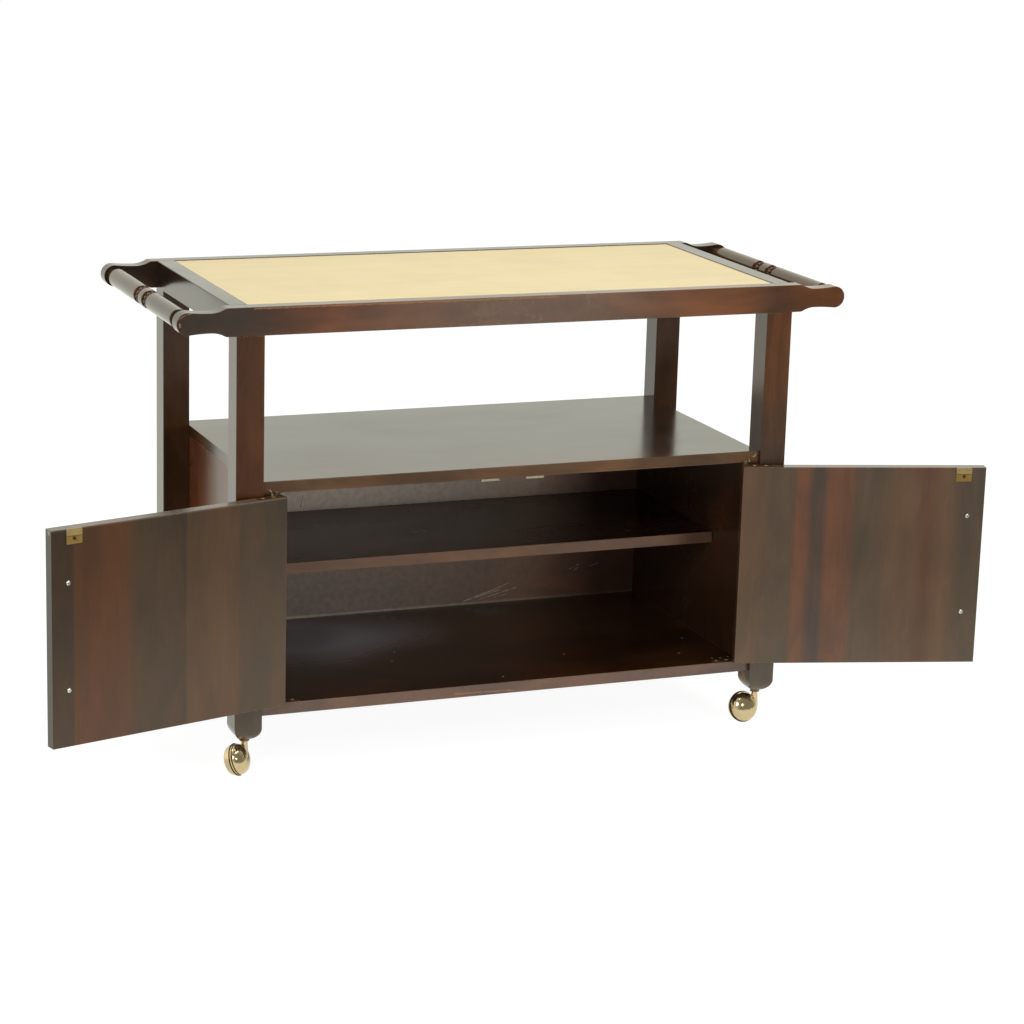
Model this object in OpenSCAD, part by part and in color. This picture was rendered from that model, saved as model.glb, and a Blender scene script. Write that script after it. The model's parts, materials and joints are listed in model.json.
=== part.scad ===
// Bar cart: a laminate serving top framed by shaped rails with turned end handles,
// on four square posts that carry a two-door cabinet and four ball casters.
// Millimetres. X runs along the front, Y from the front to the back, Z up from the floor.
// The doors are drawn as they rest, standing open.

/* [Frame] */
// Height from the floor to the top of the rails
cart_h = 795; // [740:5:860]
// Length over the shaped ends of the long rails
rail_l = 1200; // [1140:5:1300]
// Width over the outer faces of the posts
posts_w = 1000; // [900:5:1040]
// Depth over the front and back faces of the posts
posts_d = 500; // [440:5:560]
// Side of the square posts
post = 47.5; // [42:0.5:52]
// Height of the rails
rail_h = 47.5; // [44:0.5:56]
// Thickness of the long rails
rail_t = 27; // [24:1:32]
// Width of the end rails
end_rail_w = 31; // [26:1:40]
// How far the end rails stand proud of the posts
end_rail_proud = 5; // [0:1:8]
// Radius of the round ends of the long rails
rail_end_r = 18.5; // [17:0.5:20]
// Height of the narrow waist behind each rail end
waist_h = 32.5; // [30:0.5:34]
// Length from a rail end to the middle of its waist
waist_in = 57; // [52:1:60]
// Length of the shaped part of a rail end
shaped_l = 87; // [84:1:92]
// Radius of the small round that starts the curve of a rail end
shoulder_r = 16; // [10:1:20]
// Radius along the long edges of rails, posts and boards
arris = 1.5; // [0.5:0.25:2]
// Height at which a post starts to round off to its foot
foot_up = 24; // [16:1:28]
// How far that round takes each side in at the foot
foot_in = 15; // [8:0.5:16]

/* [Serving top] */
// Thickness of the laminate sheet
laminate_t = 1.2; // [0.8:0.1:2]
// Depth of the laminate below the top of the rails
laminate_sink = 1.2; // [0.5:0.1:3]
// Thickness of the board under the laminate
board_t = 18; // [15:1:20]
// Side of the cleats that carry the board
cleat = 15; // [12:1:18]

/* [Joinery] */
// Thickness of the tenons
tenon_t = 12; // [8:1:14]
// Height of the post tenon in the long rail
post_tenon_h = 15; // [10:1:18]
// Width of the post tenon
post_tenon_w = 28; // [20:1:34]
// Height of the end rail tenon
end_tenon_h = 20; // [14:1:24]
// Length of the end rail tenon
end_tenon_l = 12; // [8:1:16]
// Clearance round a tenon
joint_gap = 0.1; // [0.05:0.05:0.3]

/* [Handles] */
// Diameter of the turned handles
handle_d = 32.5; // [30:0.5:34]
// Diameter of the pin that enters the rail
handle_pin_d = 16; // [12:1:20]
// Length of that pin
handle_pin_l = 15; // [10:1:18]
// Width of the neck beside the rail
neck_w = 24; // [10:1:30]
// Depth of the neck and of the bead grooves
groove_deep = 4.2; // [3:0.1:4.5]
// Width of a bead groove
groove_w = 27; // [16:1:30]
// Distance between the two bead grooves
groove_pitch = 50; // [40:1:80]
// Distance of the grooves' middle from the middle of a handle
groove_shift = 8; // [0:1:20]
// Beads in one ring
beads = 12; // [10:1:13]
// Diameter of a bead
bead_d = 6.4; // [5.8:0.1:6.6]

/* [Cabinet] */
// Height of the top of the cabinet above the floor
cabinet_top_z = 502; // [475:1:535]
// Height of the underside of the cabinet above the floor
cabinet_under_z = 99; // [90:1:125]
// Thickness of the cabinet boards
panel_t = 20; // [18:1:22]
// Thickness of the side panels
side_t = 16; // [15:0.5:20]
// Setback of the cabinet from the front and back of the posts
cabinet_inset = 9; // [6:1:14]
// Thickness of the back panel
back_t = 8; // [5:1:12]
// Height of the top of the shelf above the floor
shelf_z = 323; // [250:1:380]
// Setback of the shelf from the front of the cabinet
shelf_setback = 134; // [90:1:180]
// Clearance at each end of the shelf
shelf_gap = 1.5; // [1:0.25:2.5]
// Diameter of the shelf pins
shelf_pin_d = 5; // [4:0.5:7]
// Length of a shelf pin in the side panel and under the shelf
shelf_pin_l = 10; // [8:1:14]
// Distance of the side panel screws from the board edges
screw_in = 30; // [24:1:40]
// Distance of the side panel screws from the boards above and below
screw_up = 50; // [40:1:70]

/* [Doors] */
// Thickness of a door
door_t = 20; // [18:1:22]
// Gap above and below a door
door_gap = 3; // [2.6:0.1:4]
// Gap at the hinge side of a door
hinge_gap = 1; // [1:0.1:2]
// Gap between the closed doors
middle_gap = 2; // [2:0.25:4]
// Angle at which the doors stand open against the posts
door_open = 164.8; // [120:0.2:164.8]
// Distance of the pivot from the hinge edge of the door
pivot_in = 7.5; // [6.5:0.5:8]
// Distance of the pivot in front of the face of the closed door
pivot_out = 1.4; // [1.2:0.1:1.5]

/* [Hinges] */
// Width of a hinge leaf
leaf_w = 11; // [9:0.5:13]
// Length of a hinge leaf from its pivot
leaf_l = 44; // [38:1:50]
// Thickness of a hinge leaf
leaf_t = 3; // [2.5:0.1:3.5]
// Height by which a leaf stands out of its board
leaf_proud = 1; // [0.6:0.1:1.1]
// Diameter of a hinge pin
pin_d = 5; // [4:0.5:6]
// Radial play of the pin in the leaves
pin_play = 0.05; // [0.02:0.01:0.1]
// Diameter of the washer between the leaves
washer_d = 9; // [8:0.5:10]
// Distance of the first leaf screw from the pivot
leaf_screw_a = 14; // [12:1:16]
// Distance of the second leaf screw from the pivot
leaf_screw_b = 34; // [28:1:36]
// Diameter of the head of a small wood screw
wood_screw_d = 6; // [5:0.25:6.5]

/* [Pulls and catches] */
// Distance between the screws of a pull
pull_c = 176; // [128:4:224]
// Distance of a pull from the free edge of its door
pull_in = 29; // [22:1:45]
// Height of the pull's middle above the middle of the door
pull_up = 3; // [-40:1:40]
// Projection of a pull from the door
pull_out = 28; // [22:1:40]
// Diameter of the bar of a pull
pull_d = 10; // [8:0.5:13]
// Diameter of the head of a pull screw
pull_screw_d = 7.6; // [6:0.2:9]
// Width of a strike plate
strike_w = 28; // [22:1:34]
// Height of a strike plate
strike_h = 25; // [20:1:30]
// Thickness of a strike plate
strike_t = 1.2; // [0.8:0.1:2]
// Distance of a strike plate from the middle of the cart
strike_x = 41; // [24:1:70]
// Width of a catch
catch_w = 33; // [26:1:40]
// Height of a catch
catch_h = 10; // [9:0.5:16]
// Depth of a catch
catch_d = 18; // [14:1:24]

/* [Casters] */
// Diameter of the rolling rim
wheel_d = 56; // [50:1:58]
// Height of the casters, from the floor to the posts
caster_h = 59; // [58:1:70]
// Distance from the swivel axis to the middle of the ball
trail = 21; // [19:0.5:22]
// Tilt of the wheel axle
axle_tilt = 18; // [12:1:24]
// Width of the rolling rim
rim_w = 8; // [6:0.5:10]
// Depth of the dome on the wheel
wheel_dome = 10; // [7:0.5:11]
// Depth of the dome of the hood
hood_dome = 20; // [16:0.5:22]
// Wall of the hood
hood_wall = 2; // [1.5:0.25:3]
// Gap between the hood and the wheel
hood_gap = 1; // [0.8:0.1:1.6]
// Width of the lip round the hood and of the groove behind it
lip_w = 2; // [1.5:0.1:2.5]
// Depth of that groove
lip_deep = 0.9; // [0.5:0.1:1]
// Diameter of the axle
axle_d = 6; // [5:0.5:7]
// Diameter of the neck of a caster
caster_neck_d = 10.5; // [9:0.5:12]
// Diameter of the stem in the post
stem_d = 8; // [6:0.5:9]
// Length of the stem in the post
stem_l = 34; // [26:1:45]
// Diameter of the ferrule under the post
ferrule_d = 17; // [14:0.5:20]
// Height of the ferrule
ferrule_h = 4; // [3:0.5:6]
// Play of the swivel stem and of the wheel on its axle
caster_play = 0.08; // [0.03:0.01:0.1]
// Heading of the front left caster
heading_fl = 230; // [0:5:355]
// Heading of the front right caster
heading_fr = 185; // [0:5:355]
// Heading of the back left caster
heading_bl = 200; // [0:5:355]
// Heading of the back right caster
heading_br = 195; // [0:5:355]

/* [Hidden] */
$fn = 64;
e = 0.01;

// Levels of the top frame and posts
rail_z = cart_h - rail_h;
rail_mid_z = cart_h - rail_h / 2;
laminate_z = cart_h - laminate_sink - laminate_t;
board_z = laminate_z - board_t;
board_x = posts_w / 2 + end_rail_proud - end_rail_w;
board_y = posts_d / 2 - rail_t;
post_bottom_z = caster_h;
post_x = posts_w / 2 - post / 2;
post_y = posts_d / 2 - post / 2;
handle_x = rail_l / 2 - rail_end_r;
end_rail_x = posts_w / 2 + end_rail_proud - end_rail_w / 2;

// Cabinet box
cab_x = posts_w / 2 - post;
cab_y = posts_d / 2 - cabinet_inset;
in_x = cab_x - side_t;
in_top_z = cabinet_top_z - panel_t;
in_floor_z = cabinet_under_z + panel_t;
in_back_y = cab_y - back_t;
shelf_x = in_x - shelf_gap;
shelf_front_y = -cab_y + shelf_setback;

// Doors in the closed position, seen on the left side
door_x0 = -in_x + hinge_gap;
door_x1 = -middle_gap / 2;
door_w = door_x1 - door_x0;
door_z0 = in_floor_z + door_gap;
door_z1 = in_top_z - door_gap;
door_mid_z = (door_z0 + door_z1) / 2;
pivot_x = door_x0 + pivot_in;
pivot_y = -cab_y - pivot_out;
leaf_y = -cab_y + door_t / 2;
pull_x = door_x1 - pull_in;
pull_mid_z = door_mid_z + pull_up;
wheel_r = wheel_d / 2;

// The lowest corner of an open door sets the front of the whole object.
// Its middle in Y, with the doors at rest, is the origin.
door_reach = (door_w - pivot_in) * sin(180 - door_open) + (pivot_out + door_t) * cos(180 - door_open);
front_y = pivot_y - door_reach;
shift_y = -(front_y + posts_d / 2) / 2;

wood = "#4a342a";
inner_wood = "#3c2a20";
cream = "#ecdcb4";
brass = "#d9b867";
steel = "#c9c9c6";

// Placing

// Moves the cart's own middle to its place in the part's frame
module placed() {
    translate([0, shift_y, 0]) children();
}

// Left things are drawn as they are, right things are their mirror image
module sided(side) {
    if (side < 0) children();
    else mirror([1, 0, 0]) children();
}

// Swings what is drawn on the closed left door to where the door rests
module swung() {
    translate([pivot_x, pivot_y, 0])
        rotate([0, 0, -door_open])
            translate([-pivot_x, -pivot_y, 0]) children();
}

module on_door(side) {
    placed() sided(side) swung() children();
}

// A box given by two corners
module span(a, b) {
    translate(a) cube(b - a);
}

// Rounded rectangle about the middle
module round_rect(w, h, r) {
    square([w - 2 * r, h], center = true);
    square([w, h - 2 * r], center = true);
    for (x = [-1, 1], y = [-1, 1])
        translate([x * (w / 2 - r), y * (h / 2 - r)]) circle(r, $fn = 32);
}

// Boards with rounded long edges, given by two corners
module board_x(a, b, r = arris) {
    s = b - a;
    translate([a.x, a.y + s.y / 2, a.z + s.z / 2])
        rotate([90, 0, 90]) linear_extrude(s.x) round_rect(s.y, s.z, r);
}

module board_z(a, b, r = arris) {
    s = b - a;
    translate([a.x + s.x / 2, a.y + s.y / 2, a.z])
        linear_extrude(s.z) round_rect(s.x, s.y, r);
}

// Top frame

// A quarter of the long rail's outline, from its straight part to the tip.
// The edge leaves the straight part over a small round, falls in a long hollow
// to the waist and rises to the round end.
waist_x = rail_l / 2 - waist_in;
shaped_x = rail_l / 2 - shaped_l;
fall = (rail_h - waist_h) / 2;
fall_l = waist_x - shaped_x;
// The fall is an S of two arcs that meet with one slope
fall_t = 2 * atan(fall / fall_l);
hollow_r = fall_l / sin(fall_t) - shoulder_r;
fall_in = shoulder_r * sin(fall_t);
// The rise from the waist is an arc that meets the round end with one slope
rise_d = rail_end_r - waist_h / 2;
rise_l = waist_in - rail_end_r;
rise_r = (rise_l * rise_l + rise_d * rise_d - 2 * rise_d * rail_end_r) / (2 * rise_d);
rise_t = atan(rise_l / (rise_r + waist_h / 2));
end_step = (90 + rise_t) / 15;

function arc(cx, cy, r, a0, a1, n) = [for (i = [0:n]) [cx + r * cos(a0 + (a1 - a0) * i / n),
                                                       cy + r * sin(a0 + (a1 - a0) * i / n)]];

rail_edge = concat(
    arc(shaped_x, rail_h / 2 - shoulder_r, shoulder_r, 90, 90 - fall_t, 8),
    arc(waist_x, waist_h / 2 + hollow_r, hollow_r, 270 - fall_t, 270, 12),
    arc(waist_x, waist_h / 2 + rise_r, rise_r, 270, 270 + rise_t, 8),
    arc(handle_x, 0, rail_end_r, 90 + rise_t - end_step, 0, 14)
);

module rail_outline() {
    lower = [for (i = [len(rail_edge) - 2:-1:0]) [rail_edge[i].x, -rail_edge[i].y]];
    right = concat(rail_edge, lower);
    left = [for (i = [len(right) - 1:-1:0]) [-right[i].x, right[i].y]];
    polygon(concat(right, left));
}

module long_rail(side) {
    placed() mirror([0, side > 0 ? 1 : 0, 0]) color(wood)
        difference() {
            intersection() {
                translate([0, -posts_d / 2 + rail_t, rail_mid_z])
                    rotate([90, 0, 0]) linear_extrude(rail_t) rail_outline();
                board_x([-rail_l / 2, -posts_d / 2, rail_z], [rail_l / 2, -board_y, cart_h], arris);
            }
            for (x = [-1, 1]) {
                // mortise for the post
                translate([x * post_x, -posts_d / 2 + rail_t / 2, rail_z])
                    cube([post_tenon_w + 2 * joint_gap, tenon_t + 2 * joint_gap,
                          2 * (post_tenon_h + joint_gap)], center = true);
                // mortise for the end rail
                translate([x * end_rail_x, -board_y, end_tenon_z])
                    cube([tenon_t + 2 * joint_gap, 2 * (end_tenon_l + joint_gap),
                          end_tenon_h + 2 * joint_gap], center = true);
                // bore for the handle's pin
                translate([x * handle_x, -board_y + e, rail_mid_z]) rotate([90, 0, 0])
                    cylinder(d = handle_pin_d + 2 * joint_gap, h = handle_pin_l + joint_gap + e);
            }
        }
}
end_tenon_z = cart_h - 4 - end_tenon_h / 2;

module end_rail(side) {
    placed() sided(side) color(wood) {
        translate([-end_rail_x, board_y, rail_mid_z])
            rotate([90, 0, 0]) linear_extrude(2 * board_y) round_rect(end_rail_w, rail_h, arris);
        translate([-end_rail_x, 0, end_tenon_z])
            cube([tenon_t, 2 * (board_y + end_tenon_l), end_tenon_h], center = true);
    }
}

// Four loose bars, the short ones cut a little short of the long ones
cleat_gap = 0.5;

module top_cleats() {
    placed() color(wood) {
        for (y = [-1, 1]) mirror([0, y > 0 ? 1 : 0, 0])
            span([-board_x, -board_y, board_z - cleat], [board_x, -board_y + cleat, board_z]);
        for (x = [-1, 1]) mirror([x > 0 ? 1 : 0, 0, 0])
            span([-board_x, -board_y + cleat + cleat_gap, board_z - cleat],
                 [-board_x + cleat, board_y - cleat - cleat_gap, board_z]);
    }
}

module top_board() {
    placed() color(inner_wood) span([-board_x, -board_y, board_z], [board_x, board_y, laminate_z]);
}

module laminate_top() {
    placed() color(cream)
        span([-board_x, -board_y, laminate_z], [board_x, board_y, laminate_z + laminate_t]);
}

// Handles: turned between the round ends of the long rails

handle_r = handle_d / 2;
core_r = handle_r - groove_deep;
handle_edge = 1;

// A step up from the core to the full diameter at y, with its corner broken, and a step down
function rising_edge(y) = [[core_r, y], [handle_r - handle_edge, y], [handle_r, y + handle_edge]];
function falling_edge(y) = [[handle_r, y - handle_edge], [handle_r - handle_edge, y], [core_r, y]];

// One handle is turned end for end against the other, so its grooves lie to the other side
module handle(side) {
    half = board_y;
    grooves = [for (y = [-1, 1]) side * groove_shift + y * groove_pitch / 2];
    profile = concat(
        [[0, -half - handle_pin_l], [handle_pin_d / 2, -half - handle_pin_l], [handle_pin_d / 2, -half]],
        [[core_r, -half]], rising_edge(neck_w - half),
        [for (y = grooves, p = [falling_edge(y - groove_w / 2), rising_edge(y + groove_w / 2)]) each p],
        falling_edge(half - neck_w), [[core_r, half]],
        [[handle_pin_d / 2, half], [handle_pin_d / 2, half + handle_pin_l], [0, half + handle_pin_l]]
    );
    placed() sided(side) translate([-handle_x, 0, rail_mid_z]) color(wood) {
        rotate([-90, 0, 0]) rotate_extrude() polygon(profile);
        for (y = grooves, i = [0:beads - 1])
            rotate([0, i * 360 / beads, 0])
                translate([0, y, handle_r - bead_d / 2]) sphere(d = bead_d, $fn = 32);
    }
}

// Posts: square, with a tenon at the head and a foot rounded on all four sides

foot_r = (foot_in * foot_in + foot_up * foot_up) / (2 * foot_in);

module foot_outline() {
    h = rail_z - post_bottom_z;
    translate([-post / 2, foot_up]) square([post, h - foot_up]);
    intersection() {
        translate([-post / 2, 0]) square([post, foot_up + e]);
        translate([post / 2 - foot_r, foot_up]) circle(foot_r);
        translate([foot_r - post / 2, foot_up]) circle(foot_r);
    }
}

module corner_post(x, y) {
    h = rail_z - post_bottom_z;
    placed() translate([x * post_x, y * post_y, post_bottom_z]) color(wood)
        difference() {
            union() {
                intersection() {
                    linear_extrude(h) round_rect(post, post, arris);
                    translate([0, post / 2, 0]) rotate([90, 0, 0]) linear_extrude(post) foot_outline();
                    translate([-post / 2, 0, 0]) rotate([90, 0, 90]) linear_extrude(post) foot_outline();
                }
                translate([0, y * (post / 2 - rail_t / 2), h])
                    cube([post_tenon_w, tenon_t, 2 * post_tenon_h], center = true);
            }
            translate([0, 0, -e]) cylinder(d = sleeve_d + 2 * joint_gap, h = sleeve_l + joint_gap + e);
            for (z = screw_levels)
                translate([-x * (post / 2 + e), y * (post / 2 - cabinet_inset - screw_in), z - post_bottom_z])
                    rotate([0, x * 90, 0]) cylinder(d = screw_core_d + 2 * joint_gap, h = screw_bite + e);
        }
}

// Side panel screws: through the panel into the post
screw_core_d = 3.5;
screw_bite = 14;
screw_levels = [in_floor_z + screw_up, in_top_z - screw_up];

// Cabinet

module flat_board(z0, upper) {
    placed() color(wood)
        difference() {
            board_x([-cab_x, -cab_y, z0], [cab_x, cab_y, z0 + panel_t]);
            for (x = [-1, 1]) sided(x) {
                leaf_seat(upper);
                if (upper) catch_screw_holes();
            }
        }
}

module side_panel(side) {
    placed() sided(side) color(inner_wood)
        difference() {
            board_z([-cab_x, -cab_y, in_floor_z], [-in_x, cab_y, in_top_z]);
            for (y = [-1, 1], z = screw_levels)
                translate([-cab_x - e, y * (cab_y - screw_in), z]) rotate([0, 90, 0]) {
                    cylinder(d = screw_core_d + 2 * joint_gap, h = side_t + 1);
                    translate([0, 0, side_t + e - screw_head_h])
                        cylinder(d = pull_screw_d + 2 * joint_gap, h = screw_head_h + 1);
                }
            for (y = shelf_pin_y)
                translate([-in_x, y, shelf_pin_z]) rotate([0, 90, 0])
                    cylinder(d = shelf_pin_d + 2 * joint_gap, h = 2 * (shelf_pin_l + joint_gap), center = true);
        }
}
screw_head_h = 1.6;
shelf_pin_z = shelf_z - panel_t - shelf_pin_d / 2;
shelf_pin_y = [shelf_front_y + 40, in_back_y - 40];

module side_panel_screws() {
    placed() color(brass)
        for (x = [-1, 1]) sided(x)
            for (y = [-1, 1], z = screw_levels)
                translate([-in_x, y * (cab_y - screw_in), z]) rotate([0, -90, 0]) {
                    screw_head(pull_screw_d, screw_head_h);
                    cylinder(d = screw_core_d, h = side_t + screw_bite - joint_gap);
                }
}

// A domed head that stands half out of its seat, with a slot
module screw_head(d, h) {
    difference() {
        union() {
            cylinder(d = d, h = h);
            translate([0, 0, -0.6]) cylinder(d = d - 1, h = 0.6 + e);
        }
        translate([0, 0, -1]) cube([d + 1, 0.9, 1.6], center = true);
    }
}

module back_panel() {
    placed() color(inner_wood)
        span([-in_x, in_back_y, in_floor_z], [in_x, cab_y, in_top_z]);
}

module middle_shelf() {
    placed() color(inner_wood)
        board_x([-shelf_x, shelf_front_y, shelf_z - panel_t], [shelf_x, in_back_y - 0.5, shelf_z]);
}

module shelf_pins() {
    placed() color(steel)
        for (x = [-1, 1]) sided(x)
            for (y = shelf_pin_y)
                translate([-in_x - shelf_pin_l, y, shelf_pin_z]) rotate([0, 90, 0])
                    cylinder(d = shelf_pin_d, h = 2 * shelf_pin_l);
}

// Knife hinges: a leaf let into the cabinet board and a leaf let into the door's edge.
// Each leaf is a strip along the middle of the door's thickness with an eye at the pivot.

module leaf_outline(grow = 0) {
    translate([pivot_x - pivot_in + 1.5 - grow, leaf_y - leaf_w / 2 - grow])
        square([leaf_l + pivot_in - 1.5 + 2 * grow, leaf_w + 2 * grow]);
    translate([pivot_x, pivot_y]) circle(leaf_w / 2 + grow);
    translate([pivot_x - leaf_w / 2 - grow, pivot_y]) square([leaf_w + 2 * grow, leaf_y - pivot_y]);
}

// Lower face of each leaf: cabinet and door, at the bottom and the top
leaf_sunk = leaf_t - leaf_proud;
cabinet_leaf_z = [in_floor_z - leaf_sunk, in_top_z - leaf_proud];
door_leaf_z = [door_z0 - leaf_proud, door_z1 - leaf_sunk];

module leaf_seat(upper) {
    i = upper ? 1 : 0;
    translate([0, 0, cabinet_leaf_z[i]]) linear_extrude(leaf_t) leaf_outline(joint_gap);
    leaf_screw_holes(cabinet_leaf_z[i], !upper);
}

screw_len = 12;
leaf_screw_core = 2.6;
leaf_screw_x = [pivot_x + leaf_screw_a, pivot_x + leaf_screw_b];

// Screw bores below a leaf (down) or above it
module leaf_screw_holes(z, down) {
    for (x = leaf_screw_x)
        translate([x, leaf_y, down ? z + leaf_t : z]) mirror([0, 0, down ? 1 : 0])
            cylinder(d = leaf_screw_core + 2 * joint_gap, h = screw_len + joint_gap);
}

// A leaf with its countersunk screw holes, heads on the open side
module leaf(z, down) {
    difference() {
        translate([0, 0, z]) linear_extrude(leaf_t) leaf_outline();
        translate([pivot_x, pivot_y, z - 1]) cylinder(d = pin_d + 2 * pin_play, h = leaf_t + 2);
        for (x = leaf_screw_x)
            translate([x, leaf_y, down ? z + leaf_t : z]) mirror([0, 0, down ? 1 : 0]) {
                cylinder(d = leaf_screw_core + 2 * joint_gap, h = leaf_t + 1);
                translate([0, 0, -e]) cylinder(d = wood_screw_d + 2 * joint_gap, h = leaf_t / 2 + e);
            }
    }
}

module leaf_screws(z, down) {
    for (x = leaf_screw_x)
        translate([x, leaf_y, down ? z + leaf_t : z]) mirror([0, 0, down ? 1 : 0]) {
            cylinder(d = leaf_screw_core, h = screw_len);
            difference() {
                translate([0, 0, 0.2]) cylinder(d = wood_screw_d, h = leaf_t / 2 - 0.2);
                cube([wood_screw_d + 1, 0.7, 1.2], center = true);
            }
        }
}

module cabinet_hinge_leaves() {
    placed() color(brass)
        for (x = [-1, 1]) sided(x) {
            leaf(cabinet_leaf_z[0], true);
            leaf(cabinet_leaf_z[1], false);
        }
}

module cabinet_hinge_screws() {
    placed() color(brass)
        for (x = [-1, 1]) sided(x) {
            leaf_screws(cabinet_leaf_z[0], true);
            leaf_screws(cabinet_leaf_z[1], false);
        }
}

// A pin is fast in the cabinet leaf and turns in the door leaf, past a washer
leaf_play = 0.4;
washer_t = door_gap - 2 * leaf_proud - leaf_play;

module hinge_pin() {
    cylinder(d = pin_d, h = 2 * leaf_t + door_gap - 2 * leaf_proud - leaf_play);
    translate([0, 0, leaf_t]) cylinder(d = washer_d, h = washer_t);
}

module hinge_pins() {
    placed() color(brass)
        for (x = [-1, 1]) sided(x) {
            translate([pivot_x, pivot_y, cabinet_leaf_z[0]]) hinge_pin();
            translate([pivot_x, pivot_y, cabinet_leaf_z[1] + leaf_t]) mirror([0, 0, 1]) hinge_pin();
        }
}

// Doors

module door(side) {
    on_door(side) color(wood)
        difference() {
            board_z([door_x0, -cab_y, door_z0], [door_x1, -cab_y + door_t, door_z1]);
            for (i = [0, 1]) translate([0, 0, door_leaf_z[i]])
                linear_extrude(leaf_t) leaf_outline(joint_gap);
            leaf_screw_holes(door_leaf_z[0], false);
            leaf_screw_holes(door_leaf_z[1], true);
            for (z = [-1, 1])
                translate([pull_x, -cab_y - e, pull_mid_z + z * pull_c / 2]) rotate([-90, 0, 0]) {
                    cylinder(d = pull_bolt_d + 2 * joint_gap, h = door_t + 1);
                }
            translate([-strike_x, -cab_y + door_t + e, strike_screw_z]) rotate([90, 0, 0])
                cylinder(d = leaf_screw_core + 2 * joint_gap, h = screw_len);
        }
}
pull_bolt_d = 4;
strike_screw_z = door_z1 - strike_h * 0.64;

module door_hinge_leaves(side) {
    on_door(side) color(brass) {
        leaf(door_leaf_z[0], false);
        leaf(door_leaf_z[1], true);
    }
}

module door_hinge_screws(side) {
    on_door(side) color(brass) {
        leaf_screws(door_leaf_z[0], false);
        leaf_screws(door_leaf_z[1], true);
    }
}

// Strike plate on the inner face at the top of the door, held by one screw
module strike_plate(side) {
    on_door(side) color(brass)
        translate([-strike_x, -cab_y + door_t, 0]) difference() {
            translate([0, 0, door_z1 - strike_h / 2]) rotate([-90, 0, 0])
                linear_extrude(strike_t) round_rect(strike_w, strike_h, 1.5);
            translate([0, -e, strike_screw_z]) rotate([-90, 0, 0])
                cylinder(d = leaf_screw_core + 2 * joint_gap, h = strike_t + 1);
        }
}
strike_head_h = 0.8;

module strike_screw(side) {
    on_door(side) color(steel)
        translate([-strike_x, -cab_y + door_t + strike_t, strike_screw_z]) {
            rotate([90, 0, 0]) cylinder(d = leaf_screw_core, h = screw_len + strike_t - joint_gap);
            rotate([-90, 0, 0]) difference() {
                cylinder(d = wood_screw_d, h = strike_head_h);
                translate([0, 0, strike_head_h]) cube([wood_screw_d + 1, 0.8, 0.8], center = true);
            }
        }
}

// Two screws hold each pull through the door, heads on the inner face
module pull(side) {
    on_door(side) color(brass)
        translate([pull_x, -cab_y, pull_mid_z]) {
            difference() {
                union() {
                    for (z = [-1, 1]) translate([0, 0, z * pull_c / 2]) rotate([90, 0, 0]) {
                        cylinder(d = pull_d + 4, h = 2);
                        cylinder(d = pull_d - 1, h = pull_out - pull_d / 2);
                    }
                    translate([0, -pull_out + pull_d / 2, 0]) {
                        cylinder(d = pull_d, h = pull_c + 2 * pull_end, center = true);
                        for (z = [-1, 1]) translate([0, 0, z * (pull_c / 2 + pull_end)])
                            sphere(d = pull_d);
                    }
                }
                for (z = [-1, 1]) translate([0, e, z * pull_c / 2]) rotate([90, 0, 0])
                    cylinder(d = pull_bolt_d + 2 * joint_gap, h = pull_thread + e);
            }
        }
}
pull_end = 8;
pull_thread = 14;
pull_head_h = 2.2;

module pull_screws(side) {
    on_door(side) color(steel)
        for (z = [-1, 1])
            translate([pull_x, -cab_y + door_t, pull_mid_z + z * pull_c / 2]) rotate([90, 0, 0]) {
                cylinder(d = pull_bolt_d, h = door_t + pull_thread - 1);
                mirror([0, 0, 1]) difference() {
                    union() {
                        cylinder(d = pull_screw_d, h = pull_head_h / 2);
                        translate([0, 0, pull_head_h / 2])
                            cylinder(d1 = pull_screw_d, d2 = pull_screw_d - 2.4, h = pull_head_h / 2);
                    }
                    translate([0, 0, pull_head_h]) cube([pull_screw_d + 1, 1, 1.4], center = true);
                }
            }
}

// Magnetic catches under the cabinet top, one for each strike plate.
// Each is a housing with two ears that take its screws, and two pole plates at its front.
catch_play = 0.6;
catch_y = -cab_y + door_t + strike_t + strike_head_h + catch_play;
pole_out = 3;
pole_t = 4;
ear = 8;
ear_t = 2;
ear_x = catch_w / 2 + ear / 2;
ear_y = catch_d / 2 + ear / 2;
catch_screw_l = 12;

module door_catches() {
    placed() color(brass)
        for (x = [-1, 1]) sided(x)
            translate([-strike_x, catch_y, in_top_z]) {
                translate([-catch_w / 2, pole_out, -catch_h]) cube([catch_w, catch_d - pole_out, catch_h]);
                for (s = [-1, 1]) translate([s * catch_w / 4 - pole_t / 2, 0, -catch_h + ear_t])
                    cube([pole_t, pole_out + 1, catch_h - 2 * ear_t]);
                difference() {
                    translate([-catch_w / 2 - ear, catch_d / 2, -ear_t]) cube([catch_w + 2 * ear, ear, ear_t]);
                    for (s = [-1, 1]) translate([s * ear_x, ear_y, -ear_t - 1])
                        cylinder(d = leaf_screw_core + 2 * joint_gap, h = ear_t + 2);
                }
            }
}

module catch_screws() {
    placed() color(steel)
        for (x = [-1, 1], s = [-1, 1]) sided(x)
            translate([-strike_x + s * ear_x, catch_y + ear_y, in_top_z - ear_t]) {
                cylinder(d = leaf_screw_core, h = catch_screw_l);
                mirror([0, 0, 1]) cylinder(d1 = wood_screw_d, d2 = wood_screw_d - 2, h = 1.2);
            }
}

module catch_screw_holes() {
    for (s = [-1, 1])
        translate([-strike_x + s * ear_x, catch_y + ear_y, in_top_z - e])
            cylinder(d = leaf_screw_core + 2 * joint_gap, h = catch_screw_l - ear_t + joint_gap + e);
}

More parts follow.
